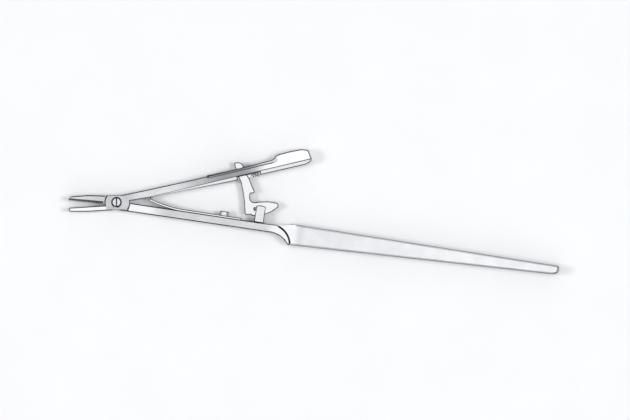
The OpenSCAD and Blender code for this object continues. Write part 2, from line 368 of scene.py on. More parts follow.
@dataclass(frozen=True)
class Wear:
    """Brush marks, cloudy wear and scratches, alike on every steel. A noise is its scale, detail and roughness.

    Attributes:
        mark_noise: Noise of the brush marks.
        mark_range: Values of it between which the darker tone comes in.
        mark_share: The most of the darker tone that shows.
        mark_relief: Their height.
        cloud_noise: Noise of the clouds.
        cloud_range: Values of it between which the pale tone comes in.
        cloud_share: The most of the pale tone that shows.
        cloud_spread: How far they change the roughness, against the marks.
        cloud_relief: Their height.
        scratch_noise: Noise that the scratches are cut from.
        scratch_range: Values of it between which a scratch comes in.
        scratch_run: How fast it changes along a scratch, against the marks' pitch.
        scratch_pitch: How fast it changes across one.
        scratch_lean: How far the scratches lean from the marks.
        scratch_gloss: How much smoother they are.
        scratch_relief: Their depth.
        strip_rough: How much rougher a biting strip is.
        least_rough: The least roughness of any steel.
    """

    mark_noise: tuple[float, float, float] = (1.0, 3.0, 0.6)
    mark_range: tuple[float, float] = (0.3, 0.75)
    mark_share: float = 0.4
    mark_relief: float = 0.8
    cloud_noise: tuple[float, float, float] = (260.0, 3.0, 0.55)
    cloud_range: tuple[float, float] = (0.35, 0.8)
    cloud_share: float = 0.2
    cloud_spread: float = 0.8
    cloud_relief: float = 0.15
    scratch_noise: tuple[float, float, float] = (1.0, 1.0, 0.4)
    scratch_range: tuple[float, float] = (0.70, 0.78)
    scratch_run: float = 0.02
    scratch_pitch: float = 0.9
    scratch_lean: float = 0.12
    scratch_gloss: float = 0.06
    scratch_relief: float = 0.9
    strip_rough: float = 0.12
    least_rough: float = 0.05


WEAR = Wear()


@dataclass(frozen=True)
class SteelFinish:
    """Steel with brush marks along a heading, cloudy wear and a few fine scratches, with painted shade and
    highlights where it has them.

    Attributes:
        name: The material's name.
        tone: Its colour.
        dark: Colour of the brush marks and of its painted shade.
        pale: Colour of the worn clouds and of its painted highlights.
        roughness: Its mean roughness.
        rough_spread: How far the roughness changes.
        heading: Heading of the brush marks, in degrees.
        marks_per_mm: Brush marks in a millimetre.
        mark_length: Length of a mark against its width.
        mark_depth: Depth of the marks in millimetres.
        shades: Its stretches of painted shade and painted highlight.
        bite: Its painted shade along the biting face's teeth, if it has one.
        painted_lit_side: Its side with a painted highlight, if it has one.
    """

    name: str
    tone: tuple[float, float, float]
    dark: tuple[float, float, float]
    pale: tuple[float, float, float]
    roughness: float
    rough_spread: float
    heading: float = 0.0
    marks_per_mm: float = 7.0
    mark_length: float = 22.0
    mark_depth: float = 0.0035
    shades: tuple[Shade, ...] = ()
    bite: BiteStrip | None = None
    painted_lit_side: PaintedLitSide | None = None

    def material(self) -> bpy.types.Material:
        """Builds the steel's node material, or gives the one that was built before.

        Returns:
            The material.
        """
        if self.name in bpy.data.materials:
            return bpy.data.materials[self.name]
        bench = Bench(self.name)
        x, y, z = bench.place()
        along, across = self._turned(x, y, self.heading)
        pitch = self.marks_per_mm / MM
        fine = pitch * WEAR.scratch_pitch
        mark_at = bench.vector(along * (pitch / self.mark_length), across * pitch, z * pitch)
        leaning = across + along * WEAR.scratch_lean
        scratch_at = bench.vector(along * (pitch * WEAR.scratch_run), leaning * fine, z * fine)
        marks = bench.noise(mark_at, *WEAR.mark_noise)
        clouds = bench.noise(bench.vector(x, y, z), *WEAR.cloud_noise)
        scratches = bench.between(bench.noise(scratch_at, *WEAR.scratch_noise), *WEAR.scratch_range)
        colour = bench.tint(bench.between(marks, *WEAR.mark_range) * WEAR.mark_share, self.tone, self.dark)
        colour = bench.tint(bench.between(clouds, *WEAR.cloud_range) * WEAR.cloud_share, colour, self.pale)
        # Paints the stretches of shade and highlight, and the lit side.
        colour = self._shaded(bench, colour, along, across)
        cloudy = (clouds - NOISE_MEAN) * (self.rough_spread * WEAR.cloud_spread)
        rough = (marks - NOISE_MEAN) * self.rough_spread + cloudy + self.roughness
        # Paints shade along the biting face, darkest at a tick at each tooth.
        if self.bite is not None:
            strip = self._strip(bench, x, y)
            colour = bench.tint(strip, colour, self.bite.tone)
            rough = rough + strip * WEAR.strip_rough
        rough = (rough - scratches * WEAR.scratch_gloss).higher(WEAR.least_rough)
        relief = marks * WEAR.mark_relief - scratches * WEAR.scratch_relief + clouds * WEAR.cloud_relief
        normal = bench.bump(relief, 1.0, self.mark_depth * MM)
        return bench.finish({"Base Color": colour, "Metallic": 1.0, "Roughness": rough, "Normal": normal})

    def _shaded(self, bench: Bench, colour: Signal, along: Signal, across: Signal) -> Signal:
        """Lays the painted shade, the painted highlights and the painted bright side over the steel's colour.

        Args:
            bench: The material.
            colour: The colour so far.
            along: The point's distance along the heading.
            across: Its distance across it.

        Returns:
            The new colour.
        """
        for shade in self.shades:
            mask = bench.stretch(along, shade.start, shade.end, shade.fade_in, shade.fade_out)
            colour = bench.tint(mask * shade.amount, colour, self.pale if shade.pale else self.dark)
        if self.painted_lit_side is not None:
            (u0, v0), (u1, v1) = self.painted_lit_side.start, self.painted_lit_side.end
            below = (along - u0 * MM) * ((v1 - v0) / (u1 - u0)) + v0 * MM - across
            side = bench.between(below, *(place * MM for place in self.painted_lit_side.fade))
            side = side * bench.between(along, *(place * MM for place in self.painted_lit_side.rise))
            colour = bench.tint(side * self.painted_lit_side.amount, colour, self.pale)
        return colour

    def _turned(self, x: Signal, y: Signal, heading: float) -> tuple[Signal, Signal]:
        """Distances along and across a heading."""
        turn = math.radians(heading)
        return x * math.cos(turn) + y * math.sin(turn), y * math.cos(turn) - x * math.sin(turn)

    def _strip(self, bench: Bench, x: Signal, y: Signal) -> Signal:
        """The mask of the painted shade along the biting face.

        Args:
            bench: The material.
            x: The point's X.
            y: The point's Y.

        Returns:
            How much of the strip's dark tone shows, with a paler body between the ticks.
        """
        bite = self.bite
        along, across = self._turned(x, y, bite.heading)
        inside = bench.stretch(along, bite.start, bite.end, bite.end_fade, bite.end_fade)
        height = bench.stretch(across, bite.low, bite.high, bite.low_fade, bite.high_fade)
        place = (along - bite.first_cut * MM) * (math.tau / (bite.pitch * MM))
        wave = bench.out(bench.node("ShaderNodeMath", {"operation": "COSINE"}, {0: place}))
        low, high = bite.low + bite.body_low, bite.high - bite.body_high
        body = bench.stretch(across, low, high, bite.body_fade, bite.body_fade)
        return inside * height * (1.0 - body * (wave * bite.paleness + bite.paleness))


@dataclass(frozen=True)
class TableFinish:
    """Plain pale table top with a very faint mottle."""

    name: str = "pale_table"
    tone: tuple[float, float, float] = (0.90, 0.90, 0.903)
    speck: tuple[float, float, float] = (0.885, 0.885, 0.89)
    mottle_noise: tuple[float, float, float] = (40.0, 4.0, 0.6)
    mottle_range: tuple[float, float] = (0.3, 0.7)
    roughness: float = 0.7
    gloss: float = 0.2

    def material(self) -> bpy.types.Material:
        """Builds the table's material.

        Returns:
            The material.
        """
        bench = Bench(self.name)
        mottle = bench.noise(bench.vector(*bench.place()), *self.mottle_noise)
        colour = bench.tint(bench.between(mottle, *self.mottle_range), self.tone, self.speck)
        return bench.finish({"Base Color": colour, "Roughness": self.roughness, "Specular IOR Level": self.gloss})


# PALE also colours the painted highlights, and DEEP the lever's painted shade round the latch.
PALE = (0.93, 0.93, 0.94)
GREY = (0.62, 0.625, 0.64)
DEEP = (0.28, 0.285, 0.30)

# The handle's shades paint highlights on the arm by the joint, on the arm by the keeper and along the grip, and
# paint shade on the upper jaw.
HANDLE_FINISH = SteelFinish(
    "handle_satin", GREY, (0.50, 0.505, 0.52), PALE, 0.33, 0.10, heading=-8.0,
    shades=(Shade(2.0, 14.0, 1.0, 6.0, 0.85, pale=True), Shade(40.0, 50.5, 4.0, 2.0, 0.7, pale=True),
            Shade(50.0, 125.0, 2.0, 40.0, 0.3, pale=True), Shade(-11.0, -2.0, 8.0, 0.5, 0.7)),
    bite=BiteStrip())
# The lever's shades paint highlights on the lower jaw, on the arm by the joint and on the thumb pad, and paint shade
# round the latch; its lit side paints a highlight along the arm's lower facet.
LEVER_FINISH = SteelFinish(
    "lever_satin", GREY, DEEP, PALE, 0.32, 0.10, heading=12.7,
    shades=(Shade(-20.0, -2.9, 0.1, 0.4, 0.95, pale=True), Shade(3.0, 23.0, 3.0, 8.0, 0.35, pale=True),
            Shade(17.0, 42.0, 14.0, 7.5, 0.88),
            Shade(37.5, 80.0, 6.0, 0.1, 0.95, pale=True)),
    painted_lit_side=PaintedLitSide((9.7, -0.52), (55.0, -0.1)))
KEEPER_FINISH = SteelFinish(
    "keeper_satin", (0.78, 0.785, 0.79), (0.58, 0.585, 0.60), PALE, 0.30, 0.10, heading=81.4)
LATCH_FINISH = SteelFinish("latch_bright", PALE, (0.84, 0.84, 0.85), (0.96, 0.96, 0.965), 0.24, 0.06, heading=-62.0)
SCREW_FINISH = SteelFinish(
    "screw_bright", (0.84, 0.84, 0.85), (0.7, 0.7, 0.71), PALE, 0.22, 0.08, heading=30.0, marks_per_mm=5.0)
HEAD_FINISH = SteelFinish(
    "strip_screw_satin", (0.60, 0.60, 0.61), (0.52, 0.52, 0.53), PALE, 0.52, 0.06, heading=-8.6, marks_per_mm=5.0)
SPRING_FINISH = SteelFinish("leaf_blank", (0.90, 0.90, 0.905), (0.74, 0.74, 0.75), PALE, 0.26, 0.08, heading=-12.0)
WIRE_FINISH = SteelFinish("coil_wire", (0.42, 0.42, 0.43), (0.28, 0.28, 0.29), PALE, 0.25, 0.05, marks_per_mm=14.0)
# Near-black painted shade laid on the rounded edges and on a few picked faces, so that they read as dark outlines.
EDGE_SHADE_PAINT = SteelFinish(
    "edge_painted_shade", (0.030, 0.031, 0.034), (0.02, 0.02, 0.022), (0.07, 0.07, 0.075), 0.38, 0.08, heading=0.0,
    mark_length=3.0)


@dataclass(frozen=True)
class Edge:
    """An edge of a piece as the tests see it, in millimetres and degrees."""

    middle: Vector
    run: Vector
    length: float
    angle: float

    def is_upright(self) -> bool:
        """Whether it runs through the instrument's thickness."""
        return abs(self.run.z) > FACING

    def is_level(self) -> bool:
        """Whether it runs round a side of the instrument."""
        return abs(self.run.z) < LEVEL

    def is_by(self, place: tuple[float, float], reach: float) -> bool:
        """Whether its middle lies within reach of a point, seen from above."""
        return math.hypot(self.middle.x - place[0], self.middle.y - place[1]) < reach


class Workshop:
    """The frame, and the steps that every piece goes through.

    Attributes:
        MERGE: Distance in metres within which the points of a CAD mesh are merged.
        FLAT_ANGLE: Angle in degrees up to which two of its facets are one flat face.
        SHORTEST: Length in millimetres up to which an edge is never rounded.
        FACE_WEIGHT: How far broad faces outweigh small ones in the shading.
        frame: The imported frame.
    """

    MERGE = 0.002 * MM
    FLAT_ANGLE = 0.6
    SHORTEST = 0.001
    FACE_WEIGHT = 80

    def __init__(self) -> None:
        """Loads the frame."""
        self.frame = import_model()

    def deselect(self) -> None:
        """Deselects every object."""
        if bpy.context.mode != "OBJECT":
            bpy.ops.object.mode_set(mode="OBJECT")
        bpy.ops.object.select_all(action="DESELECT")

    def choose(self, piece: bpy.types.Object) -> None:
        """Selects one object alone and makes it active.

        Args:
            piece: The object.
        """
        self.deselect()
        piece.select_set(True)
        bpy.context.view_layer.objects.active = piece

    def copy_of(self, node: str, name: str, finish: SteelFinish, cuts: tuple[float, ...] = ()) -> bpy.types.Object:
        """Copies a CAD node's mesh into a new object, with its doubles merged and flat faces made whole.

        Args:
            node: The CAD node.
            name: The new piece's name.
            finish: Its finish. Its rounded edges take the painted edge shade.
            cuts: X of lines across the piece, in millimetres, that divide its broad faces at a hole's middle or keep
                a long rounding's width up to there.

        Returns:
            The piece.
        """
        mesh = self.frame["nodes"][node].data.copy()
        piece = bpy.data.objects.new(name, mesh)
        bpy.context.scene.collection.objects.link(piece)
        self.dress(piece, finish)
        self.choose(piece)
        bpy.ops.object.mode_set(mode="EDIT")
        bpy.ops.mesh.customdata_custom_splitnormals_clear()
        bpy.ops.mesh.select_all(action="SELECT")
        bpy.ops.mesh.remove_doubles(threshold=self.MERGE)
        for x in cuts:
            bpy.ops.mesh.select_all(action="SELECT")
            bpy.ops.mesh.bisect(plane_co=(x * MM, 0.0, 0.0), plane_no=(1.0, 0.0, 0.0))
            bpy.ops.mesh.mark_seam(clear=False)
        bpy.ops.mesh.select_all(action="SELECT")
        bpy.ops.mesh.dissolve_limited(angle_limit=math.radians(self.FLAT_ANGLE), delimit={"NORMAL", "SEAM"})
        bpy.ops.mesh.select_all(action="DESELECT")
        bpy.ops.object.mode_set(mode="OBJECT")
        return piece

    def dress(self, piece: bpy.types.Object, finish: SteelFinish) -> None:
        """Gives a piece its finish, and the painted edge shade as its second one.

        Args:
            piece: The piece.
            finish: Its finish.
        """
        piece.data.materials.clear()
        piece.data.materials.append(finish.material())
        piece.data.materials.append(EDGE_SHADE_PAINT.material())
        for face in piece.data.polygons:
            face.material_index = 0

    def round_edges(self, piece: bpy.types.Object, width: float, wanted: Callable[[Edge], bool],
                    segments: int = 2, dark: bool = True) -> None:
        """Rounds the edges of a piece that a test picks.

        Args:
            piece: The piece.
            width: Width of the rounding in millimetres.
            wanted: The test.
            segments: Facets of the rounding.
            dark: Whether the rounding takes the painted edge shade.
        """
        self.choose(piece)
        bpy.ops.object.mode_set(mode="EDIT")
        bpy.ops.mesh.select_mode(type="EDGE")
        form = bmesh.from_edit_mesh(piece.data)
        count = 0
        for edge in form.edges:
            if len(edge.link_faces) != 2:
                continue
            ends = [vert.co / MM for vert in edge.verts]
            run = ends[1] - ends[0]
            angle = math.degrees(edge.calc_face_angle())
            seen = Edge((ends[0] + ends[1]) / 2, run.normalized(), run.length, angle)
            if run.length > self.SHORTEST and wanted(seen):
                edge.select_set(True)
                count += 1
        bmesh.update_edit_mesh(piece.data)
        if count:
            bpy.ops.mesh.bevel(offset=width * MM, offset_type="OFFSET", segments=segments, profile=0.5,
                               clamp_overlap=not dark, material=1 if dark else -1)
        bpy.ops.mesh.select_all(action="DESELECT")
        bpy.ops.object.mode_set(mode="OBJECT")
        for face in piece.data.polygons:
            if abs(face.normal.z) > BROAD:
                face.material_index = 0
        log.info("%s: %d edges rounded by %.2f mm", piece.name, count, width)

    def paint_shade(self, piece: bpy.types.Object, wanted: Callable[[Vector, Vector], bool]) -> None:
        """Paints the edge shade on the faces that a test picks.

        Args:
            piece: The piece.
            wanted: The test of a face's middle, in millimetres, and of its normal.
        """
        for face in piece.data.polygons:
            if wanted(face.center / MM, face.normal):
                face.material_index = 1

    def shade(self, piece: bpy.types.Object, angle: float = 26.0) -> None:
        """Smooths a piece's shading, with its broad faces kept flat.

        Args:
            piece: The piece.
            angle: The angle in degrees below which an edge is smooth, where its two faces have one finish.
        """
        self.choose(piece)
        bpy.ops.object.shade_smooth_by_angle(angle=math.radians(angle))
        bpy.ops.object.mode_set(mode="EDIT")
        bpy.ops.mesh.select_mode(type="EDGE")
        form = bmesh.from_edit_mesh(piece.data)
        for edge in form.edges:
            if len({face.material_index for face in edge.link_faces}) > 1:
                edge.smooth = False
        bmesh.update_edit_mesh(piece.data)
        bpy.ops.object.mode_set(mode="OBJECT")
        weighted = piece.modifiers.new("broad faces", "WEIGHTED_NORMAL")
        weighted.keep_sharp = True
        weighted.weight = self.FACE_WEIGHT
        bpy.ops.object.modifier_apply(modifier=weighted.name)

    def hand_over(self, piece: bpy.types.Object, stock: Stock, body: Body | None, *nodes: str) -> None:
        """Sets a piece on its body and hides the nodes that it stands for.

        Args:
            piece: The piece.
            stock: Its material slot. Not used.
            body: The body that it rides on, or None for a piece left on no body.
            nodes: The CAD nodes that it replaces.
        """
        if body is not None:
            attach(piece, body.value)
        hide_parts(*nodes)
        self.deselect()
        log.info("%s: %d faces, replaces %s", piece.name, len(piece.data.polygons), ", ".join(nodes))


def polar(u: float, v: float, heading: float) -> Vector:
    """A point given along and across a heading, in millimetres of the frame.

    Args:
        u: Distance along the heading from the joint's screw.
        v: Distance across it.
        heading: The heading in degrees.

    Returns:
        The point, with Z at 0.
    """
    turn = math.radians(heading)
    return Vector((u * math.cos(turn) - v * math.sin(turn), u * math.sin(turn) + v * math.cos(turn), 0.0))


def beside(point: Vector, heading: float) -> tuple[float, float]:
    """A point's distances along and across a heading.

    Args:
        point: The point in millimetres.
        heading: The heading in degrees.

    Returns:
        The distance along it and the distance across it.
    """
    turned = polar(point.x, point.y, -heading)
    return turned.x, turned.y


@dataclass
class Handle:
    """Upper jaw, lower arm and grip, forged as one. Its sizes are millimetres and degrees.

    Attributes:
        mid: Z of the middle of its thickness.
        half: Half the thickness of the lap and the grip.
        arm_half: Half the thickness of the arm.
        slack: How near to such a side an edge lies on it.
        jaw_heading: Heading of the jaw.
        arm_heading: Heading of the arm.
        bite: Place of the biting face, across the jaw.
        tooth_rise: Height over the biting face up to which the V cuts reach.
        back_rise: Height over it from which the jaw's outline counts.
        shoulder: Distance of the lap's end from the screw.
        lap_gap: How far past the lap the arm's outline starts.
        lap_foot: How far the lap reaches towards -Y.
        under_level: How near to the middle the edge under the lap lies.
        neck: X from which the upper side stands as high as the lap.
        grip_start: X where the grip's own rounding starts.
        grip_corner: The point above and beyond which the grip's upper line has no rounding.
        grip_band: Z parts of the normals of the steep band round the grip.
        cuts: X of the lines that divide its broad faces.
        outline_width: Width of the rounding of its outline.
        outline_angle: The least angle of an outline's edge.
        shortest: The least length of an outline's edge.
        tooth_width: Width of the teeth's rounding.
        tooth_angle: The least angle of a tooth's edge.
        nose: Distance of the nose's corners from the screw.
        nose_round: Width of their rounding.
        nose_angle: Their least angle.
        nose_facets: Facets of their rounding.
        keeper_pin: Place of the keeper pin, along and across the arm.
        pin_reach: Distance from its middle within which nothing is rounded.
    """

    shop: Workshop
    mid: float = 2.3
    half: float = 2.3
    arm_half: float = 1.9
    slack: float = 0.03
    jaw_heading: float = -5.2
    arm_heading: float = -8.6
    bite: float = -0.7
    tooth_rise: float = 0.36
    back_rise: float = 0.42
    shoulder: float = 3.35
    lap_gap: float = 0.6
    lap_foot: float = 2.08
    under_level: float = 0.06
    neck: float = 40.0
    grip_start: float = 47.0
    grip_corner: tuple[float, float] = (42.4, -6.35)
    grip_band: tuple[float, float] = (0.1, 0.7)
    cuts: tuple[float, ...] = (4.95, 28.89, 38.19)
    outline_width: float = 0.27
    outline_angle: float = 30.0
    shortest: float = 0.05
    tooth_width: float = 0.07
    tooth_angle: float = 40.0
    nose: float = 12.2
    nose_round: float = 0.5
    nose_angle: float = 12.0
    nose_facets: int = 4
    keeper_pin: tuple[float, float] = (38.8, -1.17)
    pin_reach: float = 0.5

    def build(self) -> None:
        """Copies the CAD form and rounds its outlines."""
        piece = self.shop.copy_of("handle", "handle_forging", HANDLE_FINISH, self.cuts)
        self.shop.round_edges(piece, self.nose_round, self._is_nose, self.nose_facets, dark=False)
        # The teeth's and the outline's roundings take painted shade, which draws them as dark lines.
        self.shop.round_edges(piece, self.tooth_width, self._is_tooth, 1)
        self.shop.round_edges(piece, self.outline_width, self._is_outline)
        # Paints shade on the steep band round the grip, as its outline.
        self.shop.paint_shade(piece, self._is_grip_side)
        self.shop.shade(piece)
        self.shop.hand_over(piece, Stock.SATIN, Body.HANDLE, "handle")

    def _is_nose(self, edge: Edge) -> bool:
        """Whether an edge is an upright corner of the jaw's nose."""
        u, _ = beside(edge.middle, self.jaw_heading)
        return u < -self.nose and edge.is_upright() and edge.angle > self.nose_angle

    def _is_tooth(self, edge: Edge) -> bool:
        """Whether an edge is a side of a V cut in the biting face."""
        u, v = beside(edge.middle, self.jaw_heading)
        in_jaw = u < -self.shoulder and v < self.bite + self.tooth_rise
        return in_jaw and edge.angle > self.tooth_angle and edge.is_level()

    def _is_outline(self, edge: Edge) -> bool:
        """Whether an edge is part of the outline of the jaw, the lap, the arm or the grip.

        Args:
            edge: The edge.

        Returns:
            Whether it is rounded with the outline.
        """
        x, y, z = edge.middle
        along, across = beside(edge.middle, self.arm_heading)
        by_pin = math.hypot(along - self.keeper_pin[0], across - self.keeper_pin[1]) < self.pin_reach
        if by_pin or edge.angle < self.outline_angle or edge.length < self.shortest or not edge.is_level():
            return False
        if x < -self.shoulder:
            return beside(edge.middle, self.jaw_heading)[1] > self.bite + self.back_rise
        if x > self.grip_start or (x > self.grip_corner[0] and y > self.grip_corner[1]):
            return False
        level = abs(z - self.mid)
        past_lap = x > self.shoulder + self.lap_gap or y < -self.lap_foot
        on_arm = past_lap and abs(level - self.arm_half) < self.slack
        on_lap = abs(level - self.half) < self.slack and (z < self.mid or x > self.neck)
        under_lap = level < self.under_level and y < -self.lap_foot and x > 0
        return on_arm or on_lap or under_lap

    def _is_grip_side(self, middle: Vector, normal: Vector) -> bool:
        """Whether a face is the steep band round the grip's rounding, which takes painted shade."""
        return middle.x > self.grip_start and self.grip_band[0] < abs(normal.z) < self.grip_band[1]


@dataclass
class ThumbLever:
    """Lower jaw, upper arm and thumb pad, forged as one. Its sizes are millimetres and degrees.

    Attributes:
        mid: Z of the middle of its thickness.
        heading: Heading of the arm.
        shoulder: Distance of the lap's end from the screw.
        lap_end: X from which its under side is part of the outline too.
        jaw_level: The least distance of the jaw's outline from the middle.
        arm_level: The least distance of the arm's outline from the middle.
        outline_width: Width of the rounding of its outline.
        outline_angle: The least angle of an outline's edge.
        steepest: The largest Z part of an outline's run.
        shortest: The least length of an outline's edge.
        facet_width: Width of the rounding between its facets.
        facet_start: X from which there are facets.
        facet_angles: Angles between which an edge divides two facets.
        facet_line: The least length of such an edge.
        facet_end: Where the facets end, along the arm.
        facet_end_reach: Distance from there within which nothing is rounded.
        facet_end_top: How far across the arm that holds.
        nose: Distance of the nose's corners from the screw.
        nose_round: Width of their rounding.
        nose_angle: Their least angle.
        nose_facets: Facets of their rounding.
        pin_at: X and Y of the latch's pin.
        pin_reach: Distance from its middle within which nothing is rounded.
        slivers: Places with edges too short for the rounding, along and across the arm.
        sliver_reach: Distance from them within which nothing is rounded.
    """

    shop: Workshop
    mid: float = 2.3
    heading: float = 12.7
    shoulder: float = 3.35
    lap_end: float = 4.2
    jaw_level: float = 0.9
    arm_level: float = 1.2
    outline_width: float = 0.26
    outline_angle: float = 36.0
    steepest: float = 0.6
    shortest: float = 0.004
    facet_width: float = 0.13
    facet_start: float = 5.0
    facet_angles: tuple[float, float] = (15.0, 35.0)
    facet_line: float = 1.5
    facet_end: float = 45.0
    facet_end_reach: float = 0.1
    facet_end_top: float = 2.7
    nose: float = 12.2
    nose_round: float = 0.5
    nose_angle: float = 12.0
    nose_facets: int = 4
    pin_at: tuple[float, float] = (33.714, 8.008)
    pin_reach: float = 0.65
    slivers: tuple[tuple[float, float], ...] = ((9.7, -0.6), (25.8, 0.85), (44.1, 1.13), (53.97, -0.2))
    sliver_reach: float = 0.35

    def build(self) -> None:
        """Copies the CAD form and rounds its outlines and the lines between its facets."""
        piece = self.shop.copy_of("lever", "lever_forging", LEVER_FINISH)
        self.shop.round_edges(piece, self.nose_round, self._is_nose, self.nose_facets, dark=False)
        # The facet lines' and the outline's roundings take painted shade, as dark lines.
        self.shop.round_edges(piece, self.facet_width, self._is_facet_line, 1)
        self.shop.round_edges(piece, self.outline_width, self._is_outline)
        self.shop.shade(piece)
        self.shop.hand_over(piece, Stock.SATIN, Body.LEVER, "lever")

    def _is_nose(self, edge: Edge) -> bool:
        """Whether an edge is an upright corner of the jaw's nose."""
        return edge.middle.x < -self.nose and edge.is_upright() and edge.angle > self.nose_angle

    def _is_facet_line(self, edge: Edge) -> bool:
        """Whether an edge divides the broad face from a sloping facet."""
        is_line = self.facet_angles[0] < edge.angle < self.facet_angles[1] and edge.length > self.facet_line
        return is_line and edge.middle.x > self.facet_start

    def _is_outline(self, edge: Edge) -> bool:
        """Whether an edge is part of the outline of the jaw, the lap, the arm or the pad.

        Args:
            edge: The edge.

        Returns:
            Whether it is rounded with the outline.
        """
        if edge.angle < self.outline_angle or abs(edge.run.z) > self.steepest or edge.length < self.shortest:
            return False
        along, across = beside(edge.middle, self.heading)
        at_facet_end = abs(along - self.facet_end) < self.facet_end_reach and across < self.facet_end_top
        by_sliver = min(math.hypot(along - u, across - v) for u, v in self.slivers) < self.sliver_reach
        if at_facet_end or by_sliver or edge.is_by(self.pin_at, self.pin_reach):
            return False
        level = abs(edge.middle.z - self.mid)
        if edge.middle.x < -self.shoulder:
            return level > self.jaw_level
        return level > self.arm_level and (edge.middle.z > self.mid or edge.middle.x > self.lap_end)


@dataclass
class Joint:
    """The slotted screw that the two halves turn on. Its sizes are millimetres.

    Attributes:
        rim_radius: The least distance of the rim from the axis.
        rim_level: The least height of the rim.
        rim_width: Width of the rim's rounding.
        slot_half: Half the slot's width, with a little to spare.
        slot_level: The least height of the slot's faces.
        slot_floor: The height that its floor lies under.
    """

    shop: Workshop
    rim_radius: float = 1.035
    rim_level: float = 4.55
    rim_width: float = 0.13
    slot_half: float = 0.19
    slot_level: float = 4.1
    slot_floor: float = 4.2

    def build(self) -> None:
        """Copies the screw, rounds its head's rim with painted shade and paints shade into its slot."""
        piece = self.shop.copy_of("pivot_screw", "joint_screw", SCREW_FINISH)
        self.shop.round_edges(piece, self.rim_width, self._is_rim)
        self.shop.paint_shade(piece, self._in_slot)
        self.shop.shade(piece)
        self.shop.hand_over(piece, Stock.BRIGHT, Body.HANDLE, "pivot_screw")

    def _is_rim(self, edge: Edge) -> bool:
        """Whether an edge is part of the head's upper rim."""
        return edge.middle.z > self.rim_level and math.hypot(edge.middle.x, edge.middle.y) > self.rim_radius

    def _in_slot(self, middle: Vector, normal: Vector) -> bool:
        """Whether a face is a wall or the floor of the slot, where shade is painted."""
        inside = middle.z > self.slot_level and abs(middle.x) < self.slot_half
        return inside and (middle.z < self.slot_floor or abs(normal.x) > FACING)


